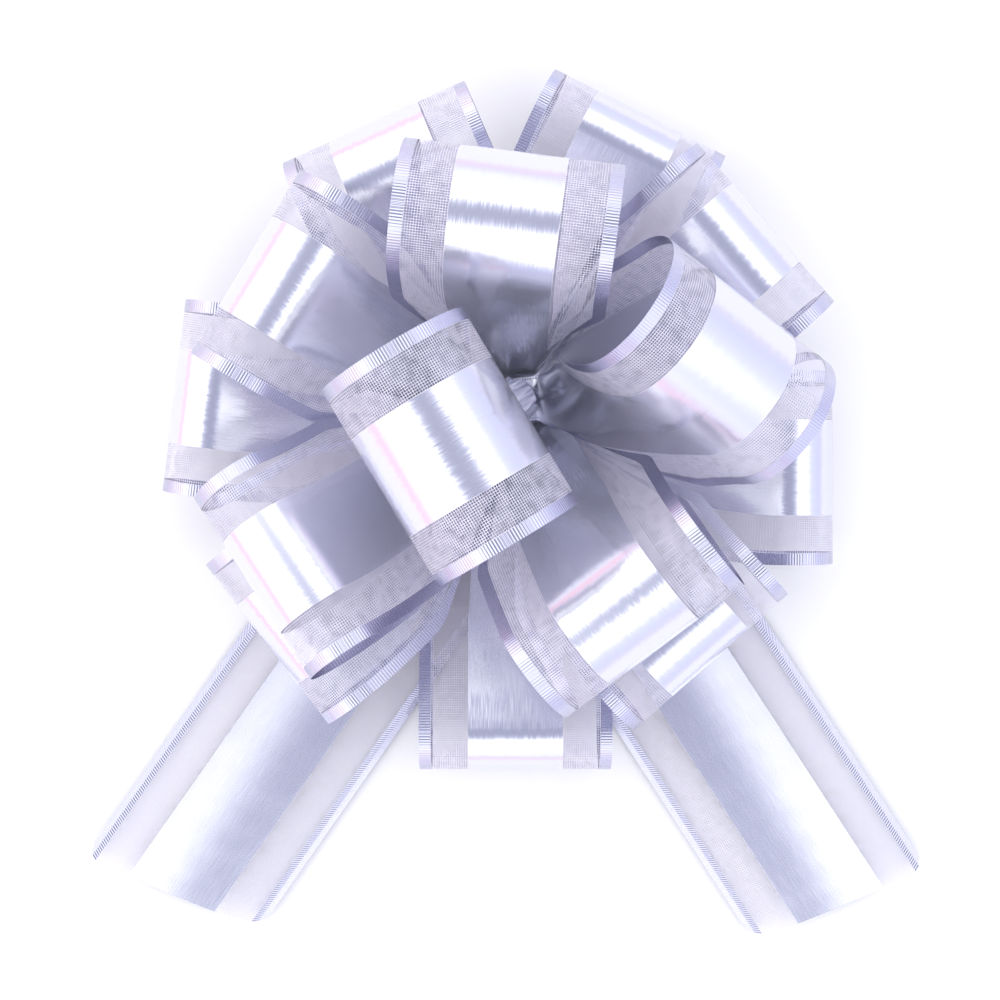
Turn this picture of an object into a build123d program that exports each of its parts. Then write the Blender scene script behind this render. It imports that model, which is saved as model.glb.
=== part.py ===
from build123d import *
import os
from math import asin, cos, degrees, pi, radians, sin

# A ready-made pull bow lying on its back. +Z is the axis of the pull strings and points
# out of the gift, the two tails lie flat towards -Y. All sizes are in millimetres.

# ribbon and seals
RIBBON_WIDTH = 50.0
FILM = 0.3
SEAL_WIDTH = 8.0
SEAL_REACH = 5.0
SEAL_BACK = 3.4
HUB_PULL = 20.0
SEAL_GAP = 0.2
SEAL_STEP = FILM + SEAL_GAP
FLARE_LENGTH = 60.0
FLARE_CURVE = 1.3

# pull strings
STRING_DIAMETER = 1.2
STRING_SPACING = 1.6
STRING_HOLE = STRING_SPACING + STRING_DIAMETER + 1.2
KNOT_DIAMETER = 4.6
KNOT_HEIGHT = 2.4
END_SEAL_DIAMETER = 9.0
END_SEAL_HEIGHT = 0.8

# tails
TAIL_LENGTH = 161.0
TAIL_FLARE = 24.0
TAIL_BACK = 9.0
TAIL_SLANT = 6.0

# heights that follow from the stack of seals
KNOT_BASE = 2 * SEAL_STEP + SEAL_GAP
STACK_BASE = KNOT_BASE + KNOT_HEIGHT + 2 * SEAL_GAP
PAIR_STEP = 4 * SEAL_STEP

# Each pair shares two neighbouring seals, so its two loops open to opposite sides.
# Direction and rise aim a loop from the hub, in degrees. Twist turns its ribbon about
# the string axis and tilt about its own aim. Reach is from the hub to the outer bend,
# full is how far the loop stands open.
LOOP_PAIRS = [
    # name, direction, rise, twist, tilt, reach, full
    [
        ("side_loop_right", -14, 9, 14, 0, 86, 24),
        ("side_loop_left", 180, 9, -7, -3, 90, 22),
    ],
    [
        ("back_loop_bottom", 270, 5, 0, 0, 97, 20),
        ("back_loop_upper_right", 67, 5, -4, 0, 83, 22),
    ],
    [
        ("back_loop_lower_right", -55, 29, 5, 4, 91, 22),
        ("back_loop_upper_left", 118, 19, -3, -5, 82, 27),
    ],
    [
        ("side_loop_upper_right", 33, 35, 7, 2, 86, 24),
        ("back_loop_lower_left", 226, 18, -8, -2, 92, 22),
    ],
    [
        ("middle_loop_upper_left", 156, 39, -7, 0, 88, 25),
        ("middle_loop_lower_right", -65, 51, 4, 11, 100, 26),
    ],
    [
        ("middle_loop_top", 94, 60, -9, -3, 90, 32),
        ("middle_loop_lower_left", 218, 40, -10, 9, 97, 22),
    ],
    [
        ("crown_loop_right", 7, 57, 10, 40, 94, 34),
        ("crown_loop_left", 224, 74, -13, 0, 93, 36),
    ],
]

os.makedirs("parts", exist_ok=True)


def aim(direction, rise, tilt):
    """Outward, width and upward directions of a loop."""
    flat = Vector(cos(radians(direction)), sin(radians(direction)), 0)
    side = Vector(-flat.Y, flat.X, 0)
    outward = flat * cos(radians(rise)) + Vector(0, 0, sin(radians(rise)))
    level_up = flat * -sin(radians(rise)) + Vector(0, 0, cos(radians(rise)))
    across = side * cos(radians(tilt)) + level_up * sin(radians(tilt))
    upward = side * -sin(radians(tilt)) + level_up * cos(radians(tilt))
    return outward, across, upward


def strand(start, start_pull, end, end_pull, t):
    """Point and heading at t on a strand between the seal and the round end."""
    point = (
        start * (2 * t**3 - 3 * t**2 + 1)
        + start_pull * (t**3 - 2 * t**2 + t)
        + end * (3 * t**2 - 2 * t**3)
        + end_pull * (t**3 - t**2)
    )
    heading = (
        start * (6 * t**2 - 6 * t)
        + start_pull * (3 * t**2 - 4 * t + 1)
        + end * (6 * t - 6 * t**2)
        + end_pull * (3 * t**2 - 2 * t)
    )
    return point, heading.normalized()


def loop_stations(direction, rise, twist, tilt, reach, full, low, high):
    """Planes and ribbon widths that the loop passes, from its low to its high seal."""
    hub = Vector(0, 0, (low + high) / 2)
    radius = full / 2
    outward, side, _ = aim(direction, rise, 0)
    flat = Vector(side.Y, -side.X, 0)
    turned, across, upward = aim(direction + twist, rise, tilt)
    middle = hub + outward * (reach - radius)
    wedge = asin(radius / (reach - radius))
    stations = []

    def add(point, heading, opened):
        blend = opened * opened * (3 - 2 * opened)
        spread = side * (1 - blend) + across * blend
        spread = (spread - heading * spread.dot(heading)).normalized()
        away = max(0, (point - hub).length - SEAL_REACH)
        flare = min(1, away / FLARE_LENGTH) ** FLARE_CURVE
        width = SEAL_WIDTH + (RIBBON_WIDTH - SEAL_WIDTH) * flare
        stations.append((Plane(origin=point, x_dir=spread, z_dir=heading), width))

    steps = [k / 9 for k in range(9)]
    low_start = flat * SEAL_REACH + Vector(0, 0, low)
    low_end = middle - turned * radius * sin(wedge) - upward * radius * cos(wedge)
    low_span = (low_end - low_start).length
    low_pull = (turned * cos(wedge) - upward * sin(wedge)) * low_span
    for t in steps:
        point, heading = strand(low_start, flat * HUB_PULL, low_end, low_pull, t)
        add(point, heading, t)
    for k in range(11):
        angle = -(pi / 2 + wedge) + k * (pi + 2 * wedge) / 10
        point = middle + turned * radius * cos(angle) + upward * radius * sin(angle)
        add(point, turned * -sin(angle) + upward * cos(angle), 1)
    high_start = flat * SEAL_REACH + Vector(0, 0, high)
    high_end = middle - turned * radius * sin(wedge) + upward * radius * cos(wedge)
    high_span = (high_end - high_start).length
    high_pull = (turned * cos(wedge) + upward * sin(wedge)) * high_span
    for t in reversed(steps):
        point, heading = strand(high_start, flat * HUB_PULL, high_end, high_pull, t)
        add(point, heading * -1, t)
    return stations


def seal_tab(direction, height):
    """Plane of the flat seal that the strings pass through."""
    return Plane(
        origin=(0, 0, height - FILM / 2),
        x_dir=(cos(radians(direction)), sin(radians(direction)), 0),
        z_dir=(0, 0, 1),
    )


# ribbon loops, each one length of ribbon between two seals
for level, pair in enumerate(LOOP_PAIRS):
    for place, (name, direction, rise, twist, tilt, reach, full) in enumerate(pair):
        low = STACK_BASE + level * PAIR_STEP + place * SEAL_STEP + FILM / 2
        high = low + 2 * SEAL_STEP
        with BuildPart() as ribbon_loop:
            for plane, width in loop_stations(
                direction, rise, twist, tilt, reach, full, low, high
            ):
                with BuildSketch(plane):
                    Rectangle(width, FILM)
            loft()
            for height in (low, high):
                with BuildSketch(seal_tab(direction, height)):
                    with Locations(((SEAL_REACH - SEAL_BACK) / 2, 0)):
                        Rectangle(SEAL_REACH + SEAL_BACK, SEAL_WIDTH)
                    Circle(STRING_HOLE / 2, mode=Mode.SUBTRACT)
                extrude(amount=FILM)
        ribbon_loop.part.label = name
        export_step(ribbon_loop.part, f"parts/{name}.step")

# tails, the free ends of the two ribbon strips, lying one on the other at the hub
for name, direction, slant, height in (
    ("tail_left", 235, -TAIL_SLANT, 0),
    ("tail_right", 303, 0.8 * TAIL_SLANT, SEAL_STEP),
):
    half = RIBBON_WIDTH / 2
    tail_plane = Plane(
        origin=(0, 0, height),
        x_dir=(cos(radians(direction)), sin(radians(direction)), 0),
        z_dir=(0, 0, 1),
    )
    with BuildPart() as tail:
        with BuildSketch(tail_plane):
            with BuildLine():
                Polyline(
                    (-TAIL_BACK, -SEAL_WIDTH),
                    (SEAL_REACH, -SEAL_WIDTH),
                    (TAIL_FLARE, -half),
                    (TAIL_LENGTH - slant, -half),
                    (TAIL_LENGTH + slant, half),
                    (TAIL_FLARE, half),
                    (SEAL_REACH, SEAL_WIDTH),
                    (-TAIL_BACK, SEAL_WIDTH),
                    close=True,
                )
            make_face()
        extrude(amount=FILM)
        tail_end = tail.edges().filter_by(Axis.Z).group_by(SortBy.DISTANCE)[-1]
        fillet(tail_end, radius=4)
    tail.part.label = name
    export_step(tail.part, f"parts/{name}.step")

# knot of the two pull strings, drawn down on the tails
stack_top = STACK_BASE + len(LOOP_PAIRS) * PAIR_STEP + 2 * SEAL_STEP
with BuildPart() as string_knot:
    with Locations((0, 0, KNOT_BASE)):
        Cylinder(KNOT_DIAMETER / 2, KNOT_HEIGHT, align=(Align.CENTER, Align.CENTER, Align.MIN))
    fillet(string_knot.edges().filter_by(GeomType.CIRCLE), radius=KNOT_HEIGHT * 0.4)
string_knot.part.label = "string_knot"
export_step(string_knot.part, "parts/string_knot.step")

# pull strings, drawn tight from the knot up to the end seal
for name, side in (("pull_string_left", -1), ("pull_string_right", 1)):
    with BuildPart() as pull_string:
        with BuildSketch(Plane.XY.offset(KNOT_BASE + KNOT_HEIGHT)):
            with Locations((side * STRING_SPACING / 2, 0)):
                Circle(STRING_DIAMETER / 2)
        extrude(amount=stack_top - KNOT_BASE - KNOT_HEIGHT)
    pull_string.part.label = name
    export_step(pull_string.part, f"parts/{name}.step")

# end seal, where both ribbon ends and both strings are welded together
with BuildPart() as end_seal:
    with Locations((0, 0, stack_top)):
        Cylinder(
            END_SEAL_DIAMETER / 2,
            END_SEAL_HEIGHT,
            align=(Align.CENTER, Align.CENTER, Align.MIN),
        )
    fillet(end_seal.edges().filter_by(GeomType.CIRCLE).sort_by(Axis.Z)[-1:], radius=0.3)
end_seal.part.label = "end_seal"
export_step(end_seal.part, "parts/end_seal.step")
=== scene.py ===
import math

import bpy
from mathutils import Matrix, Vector


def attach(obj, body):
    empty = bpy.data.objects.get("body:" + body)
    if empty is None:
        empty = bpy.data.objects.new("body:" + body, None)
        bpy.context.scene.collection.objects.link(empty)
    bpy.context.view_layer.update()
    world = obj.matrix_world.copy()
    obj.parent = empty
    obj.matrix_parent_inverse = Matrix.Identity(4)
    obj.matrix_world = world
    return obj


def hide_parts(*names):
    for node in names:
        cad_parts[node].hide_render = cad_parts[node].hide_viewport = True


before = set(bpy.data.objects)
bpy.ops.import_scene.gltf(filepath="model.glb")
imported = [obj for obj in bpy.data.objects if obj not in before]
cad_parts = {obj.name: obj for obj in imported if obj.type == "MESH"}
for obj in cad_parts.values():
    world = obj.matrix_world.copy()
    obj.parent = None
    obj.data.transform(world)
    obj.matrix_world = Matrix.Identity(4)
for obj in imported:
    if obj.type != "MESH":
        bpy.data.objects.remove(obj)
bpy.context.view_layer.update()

# Ribbon loops: fourteen lengths of 50 mm polyester ribbon, seven from each of two strips,
# each held by two heat seals on the pull strings and bowed out between them. A satin foil
# band runs down the middle, with a sheer woven strip and a narrow foil edge on each side.
RIBBON_WIDTH = 0.05


def linear(code):
    """Linear RGBA of an sRGB hex colour."""
    channels = [int(code[i : i + 2], 16) / 255 for i in (1, 3, 5)]
    return [c / 12.92 if c < 0.04045 else ((c + 0.055) / 1.055) ** 2.4 for c in channels] + [1.0]


def add(tree, kind, links=(), **settings):
    """A new node; links maps its inputs to other nodes' outputs, settings to values."""
    node = tree.nodes.new("ShaderNode" + kind)
    for key, value in settings.items():
        if key.startswith("in_"):
            name = key[3:]
            socket = int(name) if name.isdigit() else name.replace("_", " ")
            node.inputs[socket].default_value = value
        else:
            setattr(node, key, value)
    for socket, source in dict(links).items():
        tree.links.new(source, node.inputs[socket])
    return node


def new_material(name):
    """An empty node material, its node tree and its surface shader."""
    material = bpy.data.materials.new(name)
    material.use_nodes = True
    tree = material.node_tree
    return material, tree, tree.nodes["Principled BSDF"]


def ribbon_millimetres(tree, across, along):
    """The ribbon's own UV map in millimetres, divided by the pattern's size each way."""
    uv = add(tree, "UVMap", uv_map="ribbon")
    scale = (1000 * RIBBON_WIDTH / across, 1000 * RIBBON_WIDTH / along, 1.0)
    return add(tree, "Mapping", {"Vector": uv.outputs["UV"]}, in_Scale=scale).outputs["Vector"]


# Satin foil, the 24.5 mm centre band: aluminised polyester film, rolled to a satin mirror.
# The rollers left fine streaks along the ribbon, which feather every highlight, and the
# folding left soft dents across it.
foil, tree, shader = new_material("satin_foil")
streaks = add(tree, "TexNoise", {"Vector": ribbon_millimetres(tree, 0.35, 7.0)},
              noise_dimensions="2D", in_Scale=1.0, in_Detail=3.0)
dents = add(tree, "TexNoise", {"Vector": ribbon_millimetres(tree, 34.0, 7.0)},
            noise_dimensions="2D", in_Scale=1.0, in_Detail=2.0)
lean = add(tree, "Math", {0: dents.outputs[0], 2: streaks.outputs[0]}, operation="MULTIPLY_ADD",
           in_1=0.45)
lean_along = add(tree, "MapRange", {"Value": lean.outputs[0]}, in_From_Min=0.4, in_From_Max=1.05,
                 in_To_Min=0.474, in_To_Max=0.526, name="lean_along")
lean_colour = add(tree, "CombineXYZ", {"Y": lean_along.outputs[0]}, in_X=0.5, in_Z=1.0)
lean_normal = add(tree, "NormalMap", {"Color": lean_colour.outputs[0]}, uv_map="ribbon")
tree.links.new(lean_normal.outputs[0], shader.inputs["Normal"])
shader.inputs["Base Color"].default_value = linear("#DEDFEB")
shader.inputs["Metallic"].default_value = 0.78
shader.inputs["Roughness"].default_value = 0.2

# Back of the foil, the side that a loop turns inwards: the bare woven base that the film
# is bonded to, a dull silver with its grain just showing.
foil_back, tree, shader = new_material("foil_back")
grain = add(tree, "TexNoise", {"Vector": ribbon_millimetres(tree, 0.5, 0.8)},
            noise_dimensions="2D", in_Scale=1.0, in_Detail=2.0)
grain_bump = add(tree, "Bump", {"Height": grain.outputs[0]}, in_Strength=0.3, in_Distance=0.0002)
tree.links.new(grain_bump.outputs[0], shader.inputs["Normal"])
shader.inputs["Base Color"].default_value = linear("#D2D2DF")
shader.inputs["Metallic"].default_value = 0.75
shader.inputs["Roughness"].default_value = 0.48

# Edge foil, the 3 mm strips: the same film, crimped by the loom into fine cross ribs
# 0.7 mm apart.
ONE_BAND = 0.314  # the wave texture's scale at which one band is one unit long
edge_foil, tree, shader = new_material("edge_foil")
ribs = add(tree, "TexWave", {"Vector": ribbon_millimetres(tree, 40.0, 0.7)},
           wave_type="BANDS", bands_direction="Y", in_Scale=ONE_BAND, in_Distortion=0.6)
rib_bump = add(tree, "Bump", {"Height": ribs.outputs[0]}, in_Strength=0.3, in_Distance=0.0002)
tree.links.new(rib_bump.outputs[0], shader.inputs["Normal"])
shader.inputs["Base Color"].default_value = linear("#C8C8DC")
shader.inputs["Metallic"].default_value = 1.0
shader.inputs["Roughness"].default_value = 0.22

# Organza, the two sheer strips: plain weave of fine grey-lavender polyester threads, which
# lets most light through. It is drawn at 0.6 mm, a little coarser than the real 0.4 mm, so
# that the weave shows.
organza, tree, shader = new_material("organza")
wefts, warps = (
    add(tree, "TexWave", {"Vector": ribbon_millimetres(tree, across, along)},
        wave_type="BANDS", bands_direction=direction, in_Scale=ONE_BAND)
    for across, along, direction in ((40.0, 0.6, "Y"), (0.6, 40.0, "X"))
)
slub = add(tree, "TexNoise", {"Vector": ribbon_millimetres(tree, 2.5, 2.5)},
           noise_dimensions="2D", in_Scale=1.0, in_Detail=2.0)
thread_edge = add(tree, "MapRange", {"Value": slub.outputs[0]}, in_From_Min=0.3,
                  in_From_Max=0.7, in_To_Min=0.98, in_To_Max=0.89)
threads = add(tree, "Math", {0: wefts.outputs[1], 1: warps.outputs[1]}, operation="MAXIMUM")
cover = add(tree, "Math", {0: threads.outputs[0], 1: thread_edge.outputs[0]},
            operation="GREATER_THAN")
tree.links.new(cover.outputs[0], shader.inputs["Alpha"])
shader.inputs["Base Color"].default_value = linear("#DEDCEA")
shader.inputs["Roughness"].default_value = 0.4
shader.inputs["Sheen Weight"].default_value = 0.2

# The ribbon's make-up: where each strip starts and ends across it in millimetres, its
# material's slot and how many faces it is wide. Slots 3 to 5 are the same for its back.
BANDS = [(-25.0, -22.0, 2, 2), (-22.0, -12.25, 1, 5), (-12.25, 12.25, 0, 12),
         (12.25, 22.0, 1, 5), (22.0, 25.0, 2, 2)]
RIBBON_MATERIALS = (foil, organza, edge_foil, foil_back, organza, edge_foil)
BACK_SLOTS = 3
FILM = 0.00016
CREASE = math.radians(50)


def ribbon_columns():
    """Places across the ribbon in metres, and the slot of each strip between them."""
    places = [BANDS[0][0] / 1000]
    slots = []
    for start, end, slot, count in BANDS:
        for k in range(count):
            places.append((start + (end - start) * (k + 1) / count) / 1000)
            slots.append(slot)
    return places, slots


def ribbon_mesh(name, rows, lengths):
    """A ribbon through rows of points, banded across, with its own UV map."""
    places, slots = ribbon_columns()
    wide = len(places)
    points = [p for row in rows for p in row]
    faces = []
    for i in range(len(rows) - 1):
        for j in range(wide - 1):
            a = i * wide + j
            faces.append((a, a + 1, a + wide + 1, a + wide))
    mesh = bpy.data.meshes.new(name)
    mesh.from_pydata(points, [], faces)
    uv = mesh.uv_layers.new(name="ribbon")
    for polygon in mesh.polygons:
        polygon.material_index = slots[polygon.index % (wide - 1)]
        for corner in polygon.loop_indices:
            i, j = divmod(mesh.loops[corner].vertex_index, wide)
            uv.data[corner].uv = (places[j] / RIBBON_WIDTH, lengths[i] / RIBBON_WIDTH)
    for material in RIBBON_MATERIALS:
        mesh.materials.append(material)
    ribbon = bpy.data.objects.new(name, mesh)
    bpy.context.scene.collection.objects.link(ribbon)
    bpy.context.view_layer.objects.active = ribbon
    ribbon.select_set(True)
    film = ribbon.modifiers.new("film", "SOLIDIFY")
    film.thickness = FILM
    film.offset = 0.0
    film.material_offset = BACK_SLOTS
    bpy.ops.object.modifier_apply(modifier=film.name)
    bpy.ops.object.shade_smooth_by_angle(angle=CREASE)
    ribbon.select_set(False)
    return ribbon


# The loops from the gift upwards, two to a level of the seal stack. Direction, rise, twist
# and tilt are in degrees, reach from the hub and full opening in millimetres.
SEAL_STEP = 0.0005
STACK_BASE = 0.004
FILM_MIDDLE = 0.00015
LOOPS = [
    # name, direction, rise, twist, tilt, reach, full
    [
        ("side_loop_right", -14, 9, 14, 0, 86, 24),
        ("side_loop_left", 180, 9, -7, -3, 90, 22),
    ],
    [
        ("back_loop_bottom", 270, 5, 0, 0, 97, 20),
        ("back_loop_upper_right", 67, 5, -4, 0, 83, 22),
    ],
    [
        ("back_loop_lower_right", -55, 29, 5, 4, 91, 22),
        ("back_loop_upper_left", 118, 19, -3, -5, 82, 27),
    ],
    [
        ("side_loop_upper_right", 33, 35, 7, 2, 86, 24),
        ("back_loop_lower_left", 226, 18, -8, -2, 92, 22),
    ],
    [
        ("middle_loop_upper_left", 156, 39, -7, 0, 88, 25),
        ("middle_loop_lower_right", -65, 51, 4, 11, 100, 26),
    ],
    [
        ("middle_loop_top", 94, 60, -9, -3, 90, 32),
        ("middle_loop_lower_left", 218, 40, -10, 9, 97, 22),
    ],
    [
        ("crown_loop_right", 7, 57, 10, 44, 94, 34),
        ("crown_loop_left", 224, 74, -13, 0, 93, 36),
    ],
]


def aim(direction, rise, tilt):
    """Outward, width and upward directions of a loop."""
    a, r, o = (math.radians(v) for v in (direction, rise, tilt))
    flat = Vector((math.cos(a), math.sin(a), 0))
    side = Vector((-flat.y, flat.x, 0))
    outward = flat * math.cos(r) + Vector((0, 0, math.sin(r)))
    level_up = flat * -math.sin(r) + Vector((0, 0, math.cos(r)))
    across = side * math.cos(o) + level_up * math.sin(o)
    upward = side * -math.sin(o) + level_up * math.cos(o)
    return outward, across, upward


def strand(start, start_pull, end, end_pull, t):
    """A point at t on the smooth curve between two ends."""
    return (
        start * (2 * t**3 - 3 * t**2 + 1) + start_pull * (t**3 - 2 * t**2 + t)
        + end * (3 * t**2 - 2 * t**3) + end_pull * (t**3 - t**2)
    )


TAB_BACK = 0.0032
TAB_FRONT = 0.005
TAB_PULL = 0.020
STRAND_STEPS = 34
BEND_STEPS = 40


def loop_path(direction, rise, twist, tilt, reach, full, low, high):
    """Middle line of a loop: points, width directions and distance from the hub."""
    hub = Vector((0, 0, (low + high) / 2))
    radius = full / 2
    outward, side, _ = aim(direction, rise, 0)
    flat = Vector((side.y, -side.x, 0))
    turned, across, upward = aim(direction + twist, rise, tilt)
    middle = hub + outward * (reach - radius)
    wedge = math.asin(radius / (reach - radius))
    halves = []
    for height, sign in ((low, -1), (high, 1)):
        seal = Vector((0, 0, height))
        start = flat * TAB_FRONT + seal
        end = (middle - turned * radius * math.sin(wedge)
               + upward * sign * radius * math.cos(wedge))
        pull = turned * math.cos(wedge) + upward * sign * math.sin(wedge)
        pull *= (end - start).length
        half = [(seal - flat * TAB_BACK, 0.0), (seal, 0.0)]
        for k in range(STRAND_STEPS):
            t = k / STRAND_STEPS
            half.append((strand(start, flat * TAB_PULL, end, pull, t), t))
        halves.append(half)
    bend = []
    for k in range(BEND_STEPS + 1):
        angle = -(math.pi / 2 + wedge) + k * (math.pi + 2 * wedge) / BEND_STEPS
        ahead, aside = turned * radius * math.cos(angle), upward * radius * math.sin(angle)
        bend.append((middle + ahead + aside, 1.0))
    path = halves[0] + bend + halves[1][::-1]
    points = [p for p, _ in path]
    spreads = []
    for _, opened in path:
        blend = opened * opened * (3 - 2 * opened)
        spreads.append((side * (1 - blend) + across * blend).normalized())
    return points, spreads, [(p - hub).length for p in points]


# Each length is notched at its seals, down to the foil band, and gathered there to a neck.
NECK = 0.010
NECK_END = 0.005
FLARE_LENGTH = 0.054
FLARE_CURVE = 1.2
FOIL_WIDTH = 0.0245
NOTCH_END = 0.006
NOTCH_LENGTH = 0.010
FLATTEST = 0.999


def ramp(value):
    """The value, kept between 0 and 1."""
    return min(1.0, max(0.0, value))


def bow_radius(wide, share):
    """Radius that a ribbon bends to when its chord shrinks to a share of its width."""
    arc = 0.0
    for _ in range(20):
        arc = math.sqrt(24 * (1 - share) * (1 + arc * arc / 80))
    return wide / arc


def loop_rows(points, spreads, away):
    """Rows of points across a loop, and each row's distance along the ribbon."""
    places, _ = ribbon_columns()
    rows, lengths, run = [], [], 0.0
    for i, point in enumerate(points):
        before, after = points[max(i - 1, 0)], points[min(i + 1, len(points) - 1)]
        heading = (after - before).normalized()
        spread = (spreads[i] - heading * spreads[i].dot(heading)).normalized()
        if i:
            run += (point - points[i - 1]).length
        flare = ramp((away[i] - NECK_END) / FLARE_LENGTH) ** FLARE_CURVE
        chord = NECK + (RIBBON_WIDTH - NECK) * flare
        notch = ramp((away[i] - NOTCH_END) / NOTCH_LENGTH)
        wide = max(chord, FOIL_WIDTH + (RIBBON_WIDTH - FOIL_WIDTH) * notch)
        bow = bow_radius(wide, min(FLATTEST, chord / wide))
        rows.append([
            point + spread * (bow * math.sin(place * wide / RIBBON_WIDTH / bow))
            for place in places
        ])
        lengths.append(run)
    return rows, lengths


bpy.ops.object.select_all(action="DESELECT")
for level, pair in enumerate(LOOPS):
    for place, (name, direction, rise, twist, tilt, reach, full) in enumerate(pair):
        low = STACK_BASE + level * 4 * SEAL_STEP + place * SEAL_STEP + FILM_MIDDLE
        points, spreads, away = loop_path(
            direction, rise, twist, tilt, reach / 1000, full / 1000, low, low + 2 * SEAL_STEP
        )
        rows, lengths = loop_rows(points, spreads, away)
        loop = ribbon_mesh(name + "_ribbon", rows, lengths)
        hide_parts(name)
        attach(loop, f"loop_pair_{level + 1}")

# Tails: the free ends of the two ribbon strips, cut on a slant with rounded corners and
# laid on the gift. The film keeps a little of its curl, so each tail is crowned, with both
# edges flat on the gift. It was never folded, so its foil is smoother than the loops'.
smooth_foil = foil.copy()
smooth_foil.name = "smooth_satin_foil"
smooth_lean = smooth_foil.node_tree.nodes["lean_along"].inputs
smooth_lean["To Min"].default_value = 0.489
smooth_lean["To Max"].default_value = 0.511
TAIL_BACK = 0.009
TAIL_LENGTH = 0.161
TAIL_CORNER = 0.005
TAIL_CROWN = 0.0026
TAIL_CURL = 0.002
TAIL_SETTLE = 0.06
TAIL_LIFT = 0.0004
TAIL_STEPS = 85
HALF_WIDTH = 0.025
TAIL_NECK = 0.4
TAIL_NECK_END = 0.004
TAIL_NECK_LENGTH = 0.020
CURL_LENGTH = 0.16
OUTER_BEND = (-0.3, 1.2)  # where the crown starts to fall and over how long, both as
INNER_BEND = (0.5, 0.4)  # shares of half the width
for name, direction, slant, height, outer in (
    ("tail_left", 235, 0.006, 0.0, 1), ("tail_right", 303, -0.0048, SEAL_STEP, -1),
):
    a = math.radians(direction)
    along = Vector((math.cos(a), math.sin(a), 0))
    side = Vector((along.y, -along.x, 0))
    places, _ = ribbon_columns()
    rows, lengths = [], []
    for i in range(TAIL_STEPS + 1):
        t = i / TAIL_STEPS
        row = []
        for place in places:
            corner = max(0.0, abs(place) - (HALF_WIDTH - TAIL_CORNER))
            cut = TAIL_CORNER - math.sqrt(max(0.0, TAIL_CORNER**2 - corner**2))
            end = TAIL_LENGTH + slant * place / HALF_WIDTH - cut
            reach = (end + TAIL_BACK) * t - TAIL_BACK
            opened = ramp((reach - TAIL_NECK_END) / TAIL_NECK_LENGTH)
            narrow = TAIL_NECK + (1 - TAIL_NECK) * opened
            u = outer * place / HALF_WIDTH
            bent = ramp(max((u - OUTER_BEND[0]) / OUTER_BEND[1],
                            (-u - INNER_BEND[0]) / INNER_BEND[1]))
            drop = bent * bent * (3 - 2 * bent)
            crown = TAIL_CROWN * (1 - drop) * ramp(reach / TAIL_SETTLE)
            curl = TAIL_CURL * max(0.0, reach / CURL_LENGTH) ** 2
            lift = TAIL_LIFT + height * max(0.0, 1 - reach / TAIL_SETTLE) + crown + curl
            row.append(along * reach + side * place * narrow + Vector((0, 0, lift)))
        rows.append(row)
        lengths.append((TAIL_LENGTH + TAIL_BACK) * t)
    tail = ribbon_mesh(name + "_ribbon", rows, lengths)
    tail.data.materials[0] = smooth_foil
    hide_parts(name)
    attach(tail, name)

# Pull strings and their knot: two narrow twisted polyester cords that run up through every
# seal and are tied below the lowest one. They keep the CAD's shape.
cord, tree, shader = new_material("twisted_cord")
spot = add(tree, "TexCoord")
strands = add(tree, "TexWave", {"Vector": spot.outputs["Object"]}, wave_type="BANDS",
              bands_direction="DIAGONAL", in_Scale=400.0)
strand_bump = add(tree, "Bump", {"Height": strands.outputs[0]}, in_Strength=0.5,
                  in_Distance=0.0003)
tree.links.new(strand_bump.outputs[0], shader.inputs["Normal"])
shader.inputs["Base Color"].default_value = linear("#DAD8E8")
shader.inputs["Roughness"].default_value = 0.5
for name in ("pull_string_left", "pull_string_right", "string_knot"):
    node = bpy.data.objects[name]
    node.data.materials.clear()
    node.data.materials.append(cord)

# End seal: the last ends of both ribbon strips, crimped into pleats and welded over the
# strings. Only a rounded scrap about 11 mm long is left above the top loop.
weld, tree, shader = new_material("welded_film")
spot = add(tree, "TexCoord")
ripple = add(tree, "TexNoise", {"Vector": spot.outputs["Object"]}, in_Scale=600.0)
weld_bump = add(tree, "Bump", {"Height": ripple.outputs[0]}, in_Strength=0.4, in_Distance=0.0003)
tree.links.new(weld_bump.outputs[0], shader.inputs["Normal"])
shader.inputs["Base Color"].default_value = linear("#CFCEE2")
shader.inputs["Metallic"].default_value = 0.8
shader.inputs["Roughness"].default_value = 0.35
SCRAP_LENGTH = 0.0104
SCRAP_WIDTH = 0.0080
SCRAP_FILM = 0.0004
SCRAP_PLEAT = 0.00035
SCRAP_LIFT = 0.0006
SCRAP_TURN = (0.77, 0.64)
seal_top = STACK_BASE + len(LOOPS) * 4 * SEAL_STEP + 2 * SEAL_STEP
bpy.ops.mesh.primitive_grid_add(x_subdivisions=64, y_subdivisions=40, size=1.0)
end_scrap = bpy.context.object
end_scrap.name = "end_seal_scrap"
for vertex in end_scrap.data.vertices:
    u, v = vertex.co.x * 2, vertex.co.y * 2
    x = SCRAP_LENGTH / 2 * u * math.sqrt(max(0.0, 1 - 0.35 * v * v))
    y = SCRAP_WIDTH / 2 * v * (1 - 0.12 * u * u)
    pleat = SCRAP_PLEAT * math.sin(7.5 * v + 1.1 * u) * (0.4 + 0.6 * u * u)
    c, s = SCRAP_TURN
    vertex.co = Vector((c * x - s * y, s * x + c * y, seal_top + SCRAP_LIFT + pleat))
weld_film = end_scrap.modifiers.new("weld", "SOLIDIFY")
weld_film.thickness = SCRAP_FILM
weld_film.offset = 0.0
bpy.ops.object.modifier_apply(modifier=weld_film.name)
bpy.ops.object.shade_smooth()
end_scrap.select_set(False)
end_scrap.data.materials.append(weld)
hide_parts("end_seal")
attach(end_scrap, "strings")

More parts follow.
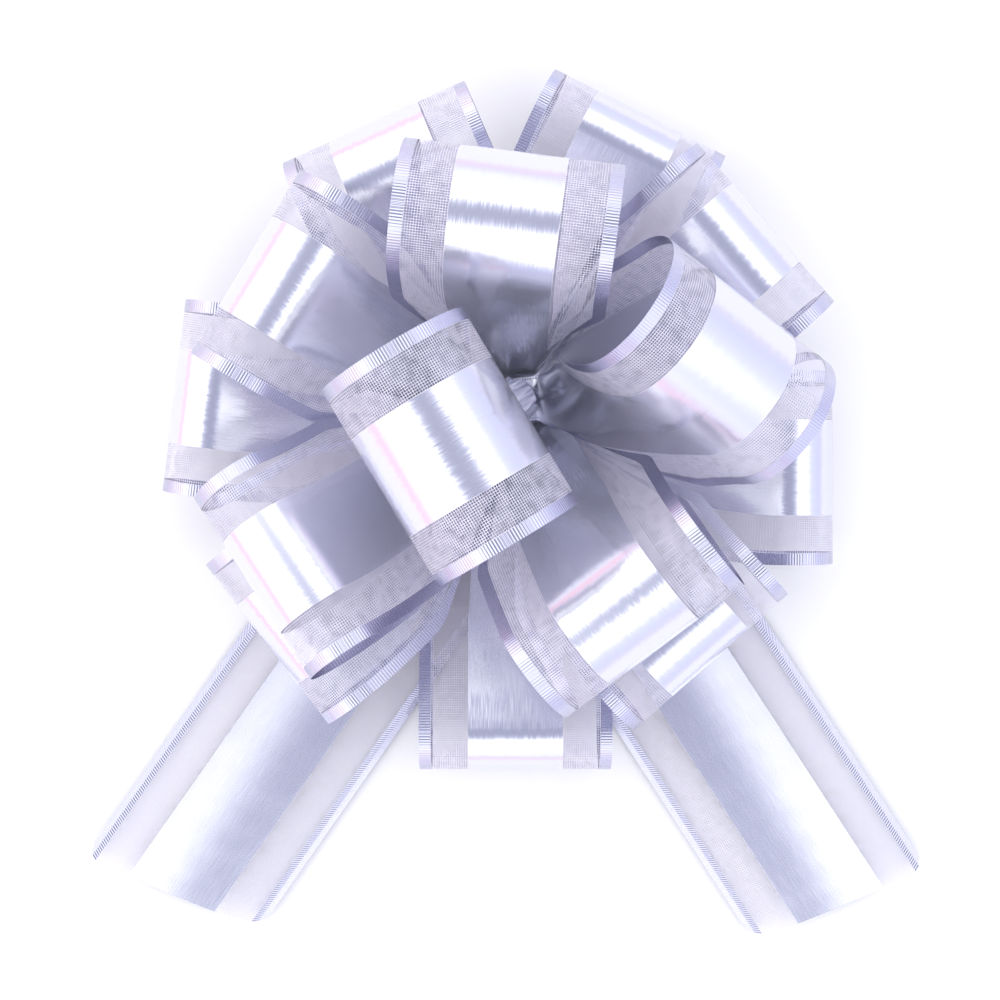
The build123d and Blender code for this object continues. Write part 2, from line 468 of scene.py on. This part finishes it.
# Setting: a plain white paper sheet that the bow lies on, in a studio tent that lights it
# from all round. The tent has a grey opening straight above, white panels round that, and
# a rose tint low on the left.
bpy.ops.mesh.primitive_plane_add(size=6.0, location=(0, 0, -0.0003))
floor = bpy.context.object
floor.name = "floor"
paper, tree, shader = new_material("white_paper")
shader.inputs["Base Color"].default_value = linear("#ECECEE")
shader.inputs["Roughness"].default_value = 0.9
floor.data.materials.append(paper)
world = bpy.data.worlds.new("studio")
bpy.context.scene.world = world
world.use_nodes = True
tree = world.node_tree
sky = tree.nodes["Background"]
ray = add(tree, "TexCoord")
height = add(tree, "SeparateXYZ", {0: ray.outputs["Generated"]})
angle = add(tree, "Math", {0: height.outputs["Z"]}, operation="ARCCOSINE")
share = add(tree, "Math", {0: angle.outputs[0]}, operation="DIVIDE", in_1=math.pi)
OPENING = [(0, "#72758A"), (3, "#72758A"), (9, "#72768E"), (16, "#9094AC"), (22, "#FFFFFF")]
PANELS = [
    # degrees from straight up and colour, on the left and on the right
    [(70, "#FFFFFF"), (77, "#D8D0E0"), (84, "#E6B4C2"), (92, "#E0B0C0"), (99, "#BABCD2")],
    [(42, "#FFFFFF"), (56, "#C3C6DA"), (80, "#B6B9CE"), (90, "#C9C0D2"), (99, "#BABCD2")],
]
tents = []
for panels in PANELS:
    stops = OPENING + panels
    tent = add(tree, "ValToRGB", {"Fac": share.outputs[0]})
    while len(tent.color_ramp.elements) < len(stops):
        tent.color_ramp.elements.new(0.5)
    for stop, (degrees, _) in zip(tent.color_ramp.elements, stops):
        stop.position = degrees / 180
    for stop, (_, colour) in zip(tent.color_ramp.elements, stops):
        stop.color = linear(colour)
    tents.append(tent)
turn = add(tree, "MapRange", {"Value": height.outputs["X"]}, in_From_Min=-0.3, in_From_Max=0.3)
room = add(tree, "Mix", {"Factor": turn.outputs[0], 6: tents[0].outputs["Color"],
                         7: tents[1].outputs["Color"]}, data_type="RGBA")
tree.links.new(room.outputs[2], sky.inputs["Color"])
sky.inputs["Strength"].default_value = 1.85
backdrop = add(tree, "Background", in_Color=(1.0, 1.0, 1.0, 1.0), in_Strength=1.0)
eye = add(tree, "LightPath")
seen = add(tree, "MixShader", {0: eye.outputs["Is Camera Ray"], 1: sky.outputs[0],
                               2: backdrop.outputs[0]})
tree.links.new(seen.outputs[0], tree.nodes["World Output"].inputs["Surface"])
bpy.context.scene.view_settings.view_transform = "Standard"

# Camera: straight above the bow, a little below its hub.
camera = bpy.data.cameras.new("camera")
camera.lens = 63.7
camera.sensor_width = 36.0
camera_object = bpy.data.objects.new("camera", camera)
camera_object.location = (-0.004, -0.026, 0.480)
camera_object.rotation_euler = (0.0, 0.0, 0.0)
bpy.context.scene.collection.objects.link(camera_object)
bpy.context.scene.camera = camera_object
